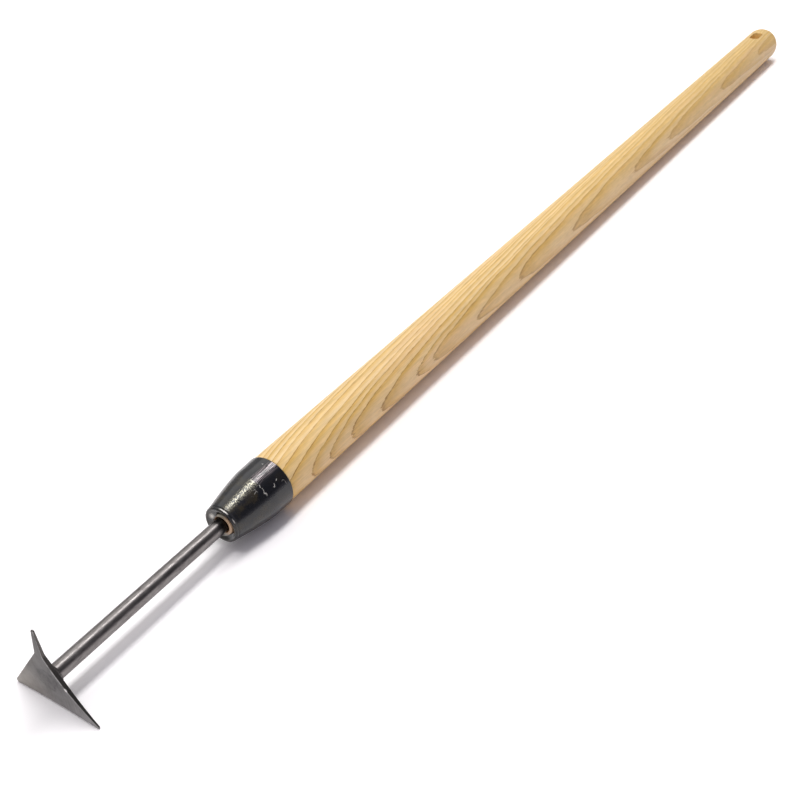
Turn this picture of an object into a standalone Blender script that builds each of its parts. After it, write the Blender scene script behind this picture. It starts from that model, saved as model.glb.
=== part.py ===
# Paving joint scraper: a small triangular steel blade welded square across a straight steel rod, whose
# tang is driven into a round ash handle behind a black turned ferrule.
# The tool lies along X, blade at the -X end. Its origin is under the middle of its length, below the rod's
# axis and level with the lowest of the blade's corners. Metres, +Z up.

from math import acos, atan2, cos, hypot, pi, sin, tan

import bmesh
import bpy
from mathutils import Vector

# Blade, seen from its cutting face: one wide corner at +Y, one slim point at -Y and one narrow horn above
# the rod, so that each end suits another width of joint. The base and the slim point's upper side are hollow.
WIDE_CORNER_REACH = 0.0331
SLIM_POINT_REACH = 0.0354
BASE_DROP = 0.0201
HORN_RISE = 0.0376
HORN_LEAN = 0.0008
HORN_WIDTH = 0.0020
NECK_RISE = 0.0185
NECK_WIDE_SIDE = 0.0040
NECK_SLIM_SIDE = 0.0018
BASE_HOLLOW = 0.0017
SLIM_SIDE_HOLLOW = 0.0034
WIDE_CORNER_ROUND = 0.0016
SLIM_POINT_ROUND = 0.0010
HORN_ROUND = 0.0007
NECK_ROUND = 0.0040
PLATE_MIDDLE = 0.0029
PLATE_EDGE = 0.0013
PLATE_THINNING_REACH = 0.0370
FLAT_ROUND_WELD = 0.0012

# Rod and the tang that it ends in
ROD_RADIUS = 0.0050
ROD_EXPOSED = 0.1374
TANG_LENGTH = 0.0893
TANG_POINT_LENGTH = 0.0220
TANG_POINT_RADIUS = 0.0016
WELD_LEG = 0.0030
WELD_CROWN = 0.0004

# Ferrule: rolled nose bead round a dished face with a hole for the wood's nib, swelling cone and a nearly
# straight band
FERRULE_LENGTH = 0.0485
FERRULE_WALL = 0.0012
NOSE_RADIUS = 0.0129
NOSE_BEAD_RADIUS = 0.0013
NOSE_HOLE_RADIUS = 0.0081
NOSE_DISH_DEPTH = 0.0019
NOSE_LIP_THICKNESS = 0.0010
CREASE_PLACE = 0.65
BAND_LENGTH = 0.0139
RIM_PROUD_OF_WOOD = 0.0007
BAND_TAPER = 0.00035
CONE_SWELL = 1.3

# Handle
HANDLE_RADIUS = 0.0180
HANDLE_LENGTH = 0.9778
HANDLE_SETBACK = 0.0009
NIB_ROUND = 0.0006
BORE_MOUTH_RADIUS = 0.0059
BORE_MOUTH_DEPTH = 0.0010
SHOULDER_ROUND = 0.0008
BUTT_ROUNDING = 0.0130
BUTT_FULLNESS = 3.0
HOLE_FROM_BUTT = 0.0330
HOLE_LENGTH = 0.0220
HOLE_WIDTH = 0.0100
HOLE_EDGE_ROUND = 0.0018

# Fits: the gap that touching pieces keep, and the play round the tang in its bore
SEAT_GAP = 0.0003
BORE_PLAY = 0.0003

HANDLE_SIDES = 64
FERRULE_SIDES = 64
ROD_SIDES = 40

# Radii that follow from the sizes above
WELD_TOE_RADIUS = ROD_RADIUS + SEAT_GAP + WELD_LEG
PLATE_FLAT_RADIUS = WELD_TOE_RADIUS + FLAT_ROUND_WELD
BEAD_CENTRE_RADIUS = NOSE_RADIUS - NOSE_BEAD_RADIUS
NIB_RADIUS = NOSE_HOLE_RADIUS - SEAT_GAP
RIM_RADIUS = HANDLE_RADIUS + RIM_PROUD_OF_WOOD
BAND_RADIUS = RIM_RADIUS - BAND_TAPER

# Stations along the tool, counted from the blade's cutting face
ROD_START = PLATE_MIDDLE + SEAT_GAP
NOSE_FRONT = PLATE_MIDDLE + ROD_EXPOSED
BEAD_STATION = NOSE_FRONT + NOSE_BEAD_RADIUS
CREASE_STATION = BEAD_STATION + CREASE_PLACE * NOSE_BEAD_RADIUS
LIP_BACK = NOSE_FRONT + NOSE_DISH_DEPTH + NOSE_LIP_THICKNESS
RIM_STATION = NOSE_FRONT + FERRULE_LENGTH
BAND_STATION = RIM_STATION - BAND_LENGTH
HANDLE_FACE = NOSE_FRONT + HANDLE_SETBACK
TANG_END = HANDLE_FACE + TANG_LENGTH
BUTT_STATION = HANDLE_FACE + HANDLE_LENGTH
HOLE_STATION = BUTT_STATION - HOLE_FROM_BUTT
OVERALL_LENGTH = BUTT_STATION


def clear_scene():
    for obj in list(bpy.data.objects):
        bpy.data.objects.remove(obj, do_unlink=True)


def new_collection(name, hidden=False):
    collection = bpy.data.collections.new(name)
    collection.hide_render = hidden
    bpy.context.scene.collection.children.link(collection)
    return collection


def new_material(name, colour, roughness, metallic):
    material = bpy.data.materials.new(name)
    material.use_nodes = True
    shader = material.node_tree.nodes["Principled BSDF"]
    shader.inputs["Base Color"].default_value = (*colour, 1.0)
    shader.inputs["Roughness"].default_value = roughness
    shader.inputs["Metallic"].default_value = metallic
    material.diffuse_color = (*colour, 1.0)
    return material


def add_object(name, mesh, collection, material=None):
    """Puts a mesh on the tool's axis: its X = 0 is the cutting face, its Z = 0 the axis of the rod."""
    obj = bpy.data.objects.new(name, mesh)
    axis_height = -min(z for y, z in blade_outline())
    obj.location = (-OVERALL_LENGTH / 2, 0.0, axis_height)
    if material:
        mesh.materials.append(material)
    collection.objects.link(obj)
    return obj


def add_cutter(name, mesh, collection):
    cutter = add_object(name, mesh, collection)
    cutter.display_type = "WIRE"
    cutter.hide_render = True
    return cutter


def turned(name, profile, sides, collection, material=None, closed=False):
    """Turns (station, radius) points about the rod's axis. The outer side runs from the blade to the butt."""
    mesh = bpy.data.meshes.new(name)
    points = [(station, 0.0, radius) for station, radius in profile]
    edges = [(i, i + 1) for i in range(len(points) - 1)]
    if closed:
        edges.append((len(points) - 1, 0))
    mesh.from_pydata(points, edges, [])
    obj = add_object(name, mesh, collection, material)
    screw = obj.modifiers.new("turn", "SCREW")
    screw.axis = "X"
    screw.steps = sides
    screw.render_steps = sides
    screw.use_merge_vertices = True
    screw.merge_threshold = 0.00001
    screw.use_smooth_shade = True
    screw.use_normal_flip = True
    return obj


def arc(centre, radius, start, end, count):
    """Points of an arc in the (station, radius) plane. Angle 0 points to the blade, pi / 2 outwards."""
    points = []
    for i in range(count + 1):
        angle = start + (end - start) * i / count
        points.append((centre[0] - radius * cos(angle), centre[1] + radius * sin(angle)))
    return points


def hollow_side(start, end, depth, steps=8):
    """Points between two corners of an outline, bowed by depth to the left of the way from start to end."""
    start = Vector(start)
    way = Vector(end) - start
    left = Vector((-way.y, way.x)).normalized()
    shares = [i / steps for i in range(1, steps)]
    return [start + way * share + left * (4 * depth * share * (1 - share)) for share in shares]


def rounded_outline(corners, steps=4):
    """A closed 2D outline. Each corner (y, z, radius) becomes an arc, and one of radius 0 stays a point."""
    outline = []
    for i, (y, z, radius) in enumerate(corners):
        here = Vector((y, z))
        if not radius:
            outline.append(tuple(here))
            continue
        before = (Vector(corners[i - 1][:2]) - here).normalized()
        after = (Vector(corners[(i + 1) % len(corners)][:2]) - here).normalized()
        half = before.angle(after) / 2
        centre = here + (before + after).normalized() * (radius / sin(half))
        first = here + before * (radius / tan(half)) - centre
        last = here + after * (radius / tan(half)) - centre
        turn = first.angle(last)
        for k in range(steps + 1):
            share = k / steps
            spoke = (first * sin((1 - share) * turn) + last * sin(share * turn)) / sin(turn)
            outline.append(tuple(centre + spoke))
    return outline


def blade_outline():
    wide_corner = (WIDE_CORNER_REACH, -BASE_DROP)
    slim_point = (-SLIM_POINT_REACH, -BASE_DROP)
    wide_neck = (NECK_WIDE_SIDE, NECK_RISE)
    slim_neck = (-NECK_SLIM_SIDE, NECK_RISE)
    corners = [
        (*wide_corner, WIDE_CORNER_ROUND),
        (*wide_neck, NECK_ROUND),
        (HORN_WIDTH / 2 - HORN_LEAN, HORN_RISE, HORN_ROUND),
        (-HORN_WIDTH / 2 - HORN_LEAN, HORN_RISE, HORN_ROUND),
        (*slim_neck, NECK_ROUND),
    ]
    corners += [(*point, 0.0) for point in hollow_side(slim_neck, slim_point, SLIM_SIDE_HOLLOW)]
    corners.append((*slim_point, SLIM_POINT_ROUND))
    corners += [(*point, 0.0) for point in hollow_side(slim_point, wide_corner, BASE_HOLLOW)]
    return rounded_outline(corners)


def ferrule_radius(station):
    """Outer radius of the ferrule's wall: a swelling cone up to the band, then a slight taper to the rim."""
    if station >= BAND_STATION:
        share = (station - BAND_STATION) / BAND_LENGTH
        return BAND_RADIUS + (RIM_RADIUS - BAND_RADIUS) * share
    share = (station - CREASE_STATION) / (BAND_STATION - CREASE_STATION)
    return BAND_RADIUS - (BAND_RADIUS - NOSE_RADIUS) * (1 - share) ** CONE_SWELL


def wall_stations(first, last, count=9):
    """Stations from first to the band and on to last, for the wall and for the wood that lies under it."""
    cone = [first + (BAND_STATION - first) * i / count for i in range(count)]
    return cone + [BAND_STATION, last]


def add_blade(parts, cutters, material):
    form = bmesh.new()
    face = form.faces.new([form.verts.new((0.0, y, z)) for y, z in blade_outline()])
    grown = bmesh.ops.extrude_face_region(form, geom=[face])
    moved = [v for v in grown["geom"] if isinstance(v, bmesh.types.BMVert)]
    bmesh.ops.translate(form, verts=moved, vec=(PLATE_MIDDLE, 0.0, 0.0))
    bmesh.ops.recalc_face_normals(form, faces=form.faces)
    mesh = bpy.data.meshes.new("blade")
    form.to_mesh(mesh)
    form.free()
    blade = add_object("blade", mesh, parts, material)

    # What is left of the plate's thickness: flat under the weld, thinner towards the three points
    spare = 0.002
    reach = PLATE_THINNING_REACH + spare
    slope = (PLATE_MIDDLE - PLATE_EDGE) / (PLATE_THINNING_REACH - PLATE_FLAT_RADIUS)
    edge = PLATE_MIDDLE - slope * (reach - PLATE_FLAT_RADIUS)
    kept = [
        (-spare, 0.0),
        (-spare, reach),
        (edge, reach),
        (PLATE_MIDDLE, PLATE_FLAT_RADIUS),
        (PLATE_MIDDLE + spare, PLATE_FLAT_RADIUS - spare),
        (PLATE_MIDDLE + spare, 0.0),
    ]
    crown = turned("plate_crown", kept, ROD_SIDES, cutters)
    crown.display_type = "WIRE"
    crown.hide_render = True
    thin = blade.modifiers.new("thin towards the points", "BOOLEAN")
    thin.operation = "INTERSECT"
    thin.object = crown
    return blade


def add_rod(parts, material):
    point_start = TANG_END - TANG_POINT_LENGTH
    profile = [
        (ROD_START, 0.0),
        (ROD_START, ROD_RADIUS),
        (point_start, ROD_RADIUS),
        (TANG_END, TANG_POINT_RADIUS),
        (TANG_END, 0.0),
    ]
    return turned("rod", profile, ROD_SIDES, parts, material)


def add_weld(parts, material):
    """Fillet bead round the rod, with a slightly crowned face between its two toes."""
    inner = ROD_RADIUS + SEAT_GAP
    base = PLATE_MIDDLE + SEAT_GAP
    toe = WELD_TOE_RADIUS
    top = base + WELD_LEG
    lip = 0.0003
    profile = [(base, inner), (base, toe), (base + lip, toe)]
    steps = 5
    for i in range(1, steps):
        share = i / steps
        bulge = WELD_CROWN * sin(pi * share)
        profile.append((base + lip + (WELD_LEG - lip) * share + bulge, toe - (WELD_LEG - lip) * share + bulge))
    profile += [(top, inner + lip), (top, inner)]
    return turned("weld_bead", profile, ROD_SIDES, parts, material, closed=True)


def add_ferrule(parts, material):
    """The dish runs straight from the edge of the nose's hole to where it touches the bead."""
    nose_hole = [(LIP_BACK, NOSE_HOLE_RADIUS), (NOSE_FRONT + NOSE_DISH_DEPTH, NOSE_HOLE_RADIUS)]
    behind_bead = NOSE_FRONT + NOSE_DISH_DEPTH - BEAD_STATION
    inside_bead = BEAD_CENTRE_RADIUS - NOSE_HOLE_RADIUS
    turn = acos(NOSE_BEAD_RADIUS / hypot(behind_bead, inside_bead))
    touch = atan2(-inside_bead, -behind_bead) + turn
    roll = arc((BEAD_STATION, BEAD_CENTRE_RADIUS), NOSE_BEAD_RADIUS, touch, 0.66 * pi, 9)
    wall = [(s, ferrule_radius(s)) for s in wall_stations(CREASE_STATION, RIM_STATION - FERRULE_WALL / 2)]
    lip_centre = (RIM_STATION - FERRULE_WALL / 2, RIM_RADIUS - FERRULE_WALL / 2)
    lip = arc(lip_centre, FERRULE_WALL / 2, 0.5 * pi, 1.5 * pi, 4)
    inside = [(s, ferrule_radius(s) - FERRULE_WALL) for s in wall_stations(LIP_BACK, lip_centre[0])]
    profile = nose_hole + roll + wall[:-1] + lip + inside[-2::-1]
    return turned("ferrule", profile, FERRULE_SIDES, parts, material, closed=True)


def slot_outline(length, width, steps=8):
    """Round-ended slot in the XY plane, centred on the origin."""
    radius = width / 2
    straight = length / 2 - radius
    outline = []
    for side in (1, -1):
        for k in range(steps + 1):
            angle = pi * k / steps - pi / 2
            outline.append((side * (straight + radius * cos(angle)), side * radius * sin(angle)))
    return outline


def slot_cutter(collection):
    """Loft through slot outlines that widen in a quarter round where they leave the handle."""
    levels = [(0.0, 0.0)]
    arc_steps = 5
    for i in range(arc_steps + 1):
        angle = pi / 2 * i / arc_steps * 0.92
        depth = HANDLE_RADIUS - HOLE_EDGE_ROUND + HOLE_EDGE_ROUND * sin(angle)
        levels.append((depth, HOLE_EDGE_ROUND * (1 - cos(angle))))
    clear_height = 0.003
    levels.append((HANDLE_RADIUS + clear_height, levels[-1][1] + clear_height * tan(pi / 2 * 0.92)))
    levels = [(-z, grow) for z, grow in reversed(levels[1:])] + levels[1:]

    form = bmesh.new()
    rings = []
    for z, grow in levels:
        outline = slot_outline(HOLE_LENGTH + 2 * grow, HOLE_WIDTH + 2 * grow)
        rings.append([form.verts.new((HOLE_STATION + x, y, z)) for x, y in outline])
    for lower, upper in zip(rings, rings[1:]):
        for i in range(len(lower)):
            j = (i + 1) % len(lower)
            form.faces.new((lower[i], lower[j], upper[j], upper[i]))
    form.faces.new(reversed(rings[0]))
    form.faces.new(rings[-1])
    bmesh.ops.recalc_face_normals(form, faces=form.faces)
    mesh = bpy.data.meshes.new("hanging_slot")
    form.to_mesh(mesh)
    form.free()
    return add_cutter("hanging_slot", mesh, collection)


def add_handle(parts, cutters, material):
    bore = ROD_RADIUS + BORE_PLAY
    point_bore = TANG_POINT_RADIUS + BORE_PLAY
    bore_end = TANG_END + SEAT_GAP
    nib_end = LIP_BACK + SEAT_GAP
    under = FERRULE_WALL + SEAT_GAP
    seat_end = RIM_STATION + SEAT_GAP
    profile = [
        (bore_end, 0.0),
        (bore_end, point_bore),
        (TANG_END - TANG_POINT_LENGTH, bore),
        (HANDLE_FACE + BORE_MOUTH_DEPTH, bore),
        (HANDLE_FACE, BORE_MOUTH_RADIUS),
    ]
    profile += arc((HANDLE_FACE + NIB_ROUND, NIB_RADIUS - NIB_ROUND), NIB_ROUND, 0.0, pi / 2, 3)
    profile.append((nib_end, NIB_RADIUS))
    profile += [(s, ferrule_radius(s) - under) for s in wall_stations(nib_end, seat_end)]
    profile.append((seat_end, HANDLE_RADIUS - SHOULDER_ROUND))
    shoulder = (seat_end + SHOULDER_ROUND, HANDLE_RADIUS - SHOULDER_ROUND)
    profile += arc(shoulder, SHOULDER_ROUND, 0.0, pi / 2, 4)[1:]
    dome_start = BUTT_STATION - BUTT_ROUNDING
    profile += [(HOLE_STATION - HOLE_LENGTH, HANDLE_RADIUS)]
    steps = 9
    power = 2 / BUTT_FULLNESS
    for i in range(steps + 1):
        angle = pi / 2 * i / steps
        station = dome_start + BUTT_ROUNDING * sin(angle) ** power
        profile.append((station, HANDLE_RADIUS * max(cos(angle), 0.0) ** power if i < steps else 0.0))
    handle = turned("handle", profile, HANDLE_SIDES, parts, material)
    hole = handle.modifiers.new("hanging slot", "BOOLEAN")
    hole.operation = "DIFFERENCE"
    hole.object = slot_cutter(cutters)
    return handle


def main():
    clear_scene()
    parts = new_collection("paving_joint_scraper")
    cutters = new_collection("cutters", hidden=True)
    ash = new_material("ash_wood", (0.62, 0.42, 0.20), 0.50, 0.0)
    black = new_material("black_enamel", (0.015, 0.016, 0.020), 0.22, 0.0)
    bright = new_material("drawn_steel", (0.30, 0.28, 0.27), 0.32, 1.0)
    plate = new_material("plate_steel", (0.36, 0.34, 0.32), 0.45, 1.0)
    weld = new_material("weld_steel", (0.16, 0.15, 0.15), 0.55, 1.0)
    add_blade(parts, cutters, plate)
    add_weld(parts, weld)
    add_rod(parts, bright)
    add_ferrule(parts, black)
    add_handle(parts, cutters, ash)


main()
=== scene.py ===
# Paving joint scraper on a white studio floor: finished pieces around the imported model
from math import acos, atan2, cos, degrees, exp, hypot, pi, radians, sin, tan

import bpy
from mathutils import Matrix, Vector, noise


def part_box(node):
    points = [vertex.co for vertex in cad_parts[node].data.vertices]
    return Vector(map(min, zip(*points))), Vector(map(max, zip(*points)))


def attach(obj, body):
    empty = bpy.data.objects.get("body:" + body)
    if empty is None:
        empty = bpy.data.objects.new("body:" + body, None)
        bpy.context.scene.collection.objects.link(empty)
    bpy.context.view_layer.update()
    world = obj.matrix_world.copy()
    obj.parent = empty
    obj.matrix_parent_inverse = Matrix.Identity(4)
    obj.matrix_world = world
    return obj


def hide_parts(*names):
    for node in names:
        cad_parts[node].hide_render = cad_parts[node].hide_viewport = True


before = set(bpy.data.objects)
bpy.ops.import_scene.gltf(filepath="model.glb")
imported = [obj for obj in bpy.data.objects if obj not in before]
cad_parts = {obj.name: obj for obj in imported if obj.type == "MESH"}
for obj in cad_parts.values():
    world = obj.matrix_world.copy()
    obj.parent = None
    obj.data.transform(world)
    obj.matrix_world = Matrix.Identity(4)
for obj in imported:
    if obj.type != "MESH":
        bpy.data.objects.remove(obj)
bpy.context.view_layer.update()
print("frame loaded")

mm = 0.001

# Places that every piece shares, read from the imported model
bladeLow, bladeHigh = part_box("blade")
rodLow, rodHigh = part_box("rod")
ferruleLow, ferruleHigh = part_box("ferrule")
handleLow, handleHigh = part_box("handle")
axisHeight = (rodLow.z + rodHigh.z) / 2
faceX = bladeLow.x  # the blade's cutting face, where stations are counted from
toolLength = (handleHigh.x - faceX) / mm  # mm
plateThickness = (bladeHigh.x - faceX) / mm
rodRadius = (rodHigh.z - rodLow.z) / 2 / mm
handleRadius = (handleHigh.z - handleLow.z) / 2 / mm
ferruleFront = (ferruleLow.x - faceX) / mm
ferruleRim = (ferruleHigh.x - faceX) / mm
rimRadius = (ferruleHigh.z - ferruleLow.z) / 2 / mm
handleFace = (handleLow.x - faceX) / mm
tangEnd = (rodHigh.x - faceX) / mm


def toolPoint(station, y, z):
    # A place in mm, along the rod's axis from the cutting face and out from the axis
    return (faceX + station * mm, y * mm, axisHeight + z * mm)


# Node helpers. A span is (from, to, result at from, result at to)

def addNode(tree, kind, inputs=None, **settings):
    made = tree.nodes.new(kind)
    for key, value in settings.items():
        setattr(made, key, value)
    for key, value in (inputs or {}).items():
        if isinstance(value, bpy.types.NodeSocket):
            tree.links.new(value, made.inputs[key])
        else:
            made.inputs[key].default_value = value
    return made


def calc(tree, operation, *values):
    return addNode(tree, "ShaderNodeMath", dict(enumerate(values)), operation=operation).outputs[0]


def vectorCalc(tree, operation, output, *values):
    made = addNode(tree, "ShaderNodeVectorMath", dict(enumerate(values)), operation=operation)
    return made.outputs[output]


def product(tree, first, *others):
    for value in others:
        first = calc(tree, "MULTIPLY", first, value)
    return first


def distance(tree, value, spot):
    return calc(tree, "ABSOLUTE", calc(tree, "SUBTRACT", value, spot))


def lengthOf(tree, first, second):
    squares = calc(tree, "ADD", calc(tree, "POWER", first, 2.0), calc(tree, "POWER", second, 2.0))
    return calc(tree, "SQRT", squares)


def remap(tree, value, low, high, newLow, newHigh):
    inputs = {0: value, 1: low, 2: high, 3: newLow, 4: newHigh}
    return addNode(tree, "ShaderNodeMapRange", inputs).outputs[0]


def blendColours(tree, share, first, second, how="MIX"):
    made = addNode(tree, "ShaderNodeMix", data_type="RGBA", blend_type=how)
    for socket, value in ((0, share), (6, first), (7, second)):
        if isinstance(value, bpy.types.NodeSocket):
            tree.links.new(value, made.inputs[socket])
        else:
            made.inputs[socket].default_value = (*value, 1.0) if isinstance(value, tuple) else value
    return made.outputs[2]


def shaded(tree, colour, level):
    grey = addNode(tree, "ShaderNodeCombineColor", {0: level, 1: level, 2: level}).outputs[0]
    return blendColours(tree, 1.0, colour, grey, "MULTIPLY")


def speckle(tree, place, waves, detail=3.0, roughness=0.55):
    # Noise. Waves a metre are one number, or one along the tool and one across it, or one for each axis
    if isinstance(waves, tuple):
        stretch = (waves[0], waves[1], waves[-1])
        place = addNode(tree, "ShaderNodeMapping", {"Vector": place, "Scale": stretch}).outputs[0]
        waves = 1.0
    inputs = {"Vector": place, "Scale": waves, "Detail": detail, "Roughness": roughness}
    return addNode(tree, "ShaderNodeTexNoise", inputs).outputs["Fac"]


def mask(tree, place, noiseLook, span):
    return remap(tree, speckle(tree, place, *noiseLook), *span)


def ragged(tree, place, value, waves, detail, reach):
    # A length in mm that noise moves by up to half the reach to either side
    centred = calc(tree, "SUBTRACT", value, reach / 2)
    return calc(tree, "MULTIPLY_ADD", speckle(tree, place, waves, detail), reach, centred)


def toolAxes(tree, place):
    # Station, y and z in mm, as in the profiles
    parts = addNode(tree, "ShaderNodeSeparateXYZ", {0: place}).outputs
    station = calc(tree, "MULTIPLY_ADD", parts["X"], 1 / mm, -faceX / mm)
    across = calc(tree, "MULTIPLY", parts["Y"], 1 / mm)
    upward = calc(tree, "MULTIPLY_ADD", parts["Z"], 1 / mm, -axisHeight / mm)
    return station, across, upward


def nearSpot(tree, place, centre, along, reach, width):
    # 0 in the middle of a long oval spot, 1 at its edge. Centre and direction are (station, y, z), in mm
    offset = vectorCalc(tree, "SUBTRACT", "Vector", place, toolPoint(*centre))
    run = vectorCalc(tree, "DOT_PRODUCT", "Value", offset, Vector(along).normalized())
    far = vectorCalc(tree, "LENGTH", "Value", offset)
    run = calc(tree, "POWER", run, 2.0)
    side = calc(tree, "SUBTRACT", calc(tree, "POWER", far, 2.0), run)
    side = calc(tree, "MULTIPLY", side, (width * mm) ** -2)
    total = calc(tree, "MULTIPLY_ADD", run, (reach * mm) ** -2, side)
    return calc(tree, "SQRT", calc(tree, "MAXIMUM", total, 0.0))


def ramp(tree, value, stops):
    made = addNode(tree, "ShaderNodeValToRGB", {"Fac": value})
    marks = made.color_ramp.elements
    while len(marks) < len(stops):
        marks.new(0.5)
    for mark, (spot, colour) in zip(marks, stops):
        mark.position = spot
        mark.color = (*colour, 1.0)
    return made.outputs["Color"]


def startMaterial(name):
    made = bpy.data.materials.new(name)
    made.use_nodes = True
    tree = made.node_tree
    shader = tree.nodes["Principled BSDF"]
    place = addNode(tree, "ShaderNodeTexCoord").outputs["Object"]
    return made, tree, shader, place


def addBump(tree, shader, height, depth, strength):
    inputs = {"Height": height, "Distance": depth * mm, "Strength": strength}
    tree.links.new(addNode(tree, "ShaderNodeBump", inputs).outputs["Normal"], shader.inputs["Normal"])


# Mesh helpers. Profiles are (station, radius) in mm

def finishPiece(obj, node, sharpAngle=40):
    obj.data.shade_smooth()
    obj.data.set_sharp_from_angle(angle=radians(sharpAngle))
    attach(obj, "root")
    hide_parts(node)


def meshObject(name, points, faces, material):
    mesh = bpy.data.meshes.new(name)
    mesh.from_pydata([toolPoint(*p) for p in points], [], faces)
    mesh.validate()
    mesh.materials.append(material)
    obj = bpy.data.objects.new(name, mesh)
    bpy.context.scene.collection.objects.link(obj)
    return obj


def skinRings(rings, closedLoop=False):
    points = [p for ring in rings for p in ring]
    starts = []
    total = 0
    for ring in rings:
        starts.append(total)
        total += len(ring)
    faces = []
    pairs = list(zip(range(len(rings)), range(1, len(rings))))
    if closedLoop:
        pairs.append((len(rings) - 1, 0))
    for a, b in pairs:
        count = max(len(rings[a]), len(rings[b]))
        for i in range(count):
            j = (i + 1) % count
            if len(rings[a]) == 1:
                faces.append((starts[a], starts[b] + j, starts[b] + i))
            elif len(rings[b]) == 1:
                faces.append((starts[a] + i, starts[a] + j, starts[b]))
            else:
                faces.append((starts[a] + i, starts[a] + j, starts[b] + j, starts[b] + i))
    return points, faces


def turnedOver(faces):
    return [tuple(reversed(face)) for face in faces]


def turnedRings(profile, sides):
    rings = []
    for station, radius in profile:
        if radius < 1e-6:
            rings.append([(station, 0.0, 0.0)])
            continue
        angles = [-2 * pi * i / sides for i in range(sides)]
        rings.append([(station, radius * cos(a), radius * sin(a)) for a in angles])
    return rings


def arcPoints(centre, radius, start, end, count):
    steps = [start + (end - start) * i / count for i in range(count + 1)]
    return [(centre[0] - radius * cos(a), centre[1] + radius * sin(a)) for a in steps]


def bowedLine(first, last, bow, count=10):
    made = []
    for i in range(1, count):
        share = i / count
        station = first[0] + (last[0] - first[0]) * share
        made.append((station + bow * sin(pi * share), first[1] + (last[1] - first[1]) * share))
    return made


# Ash handle

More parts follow.
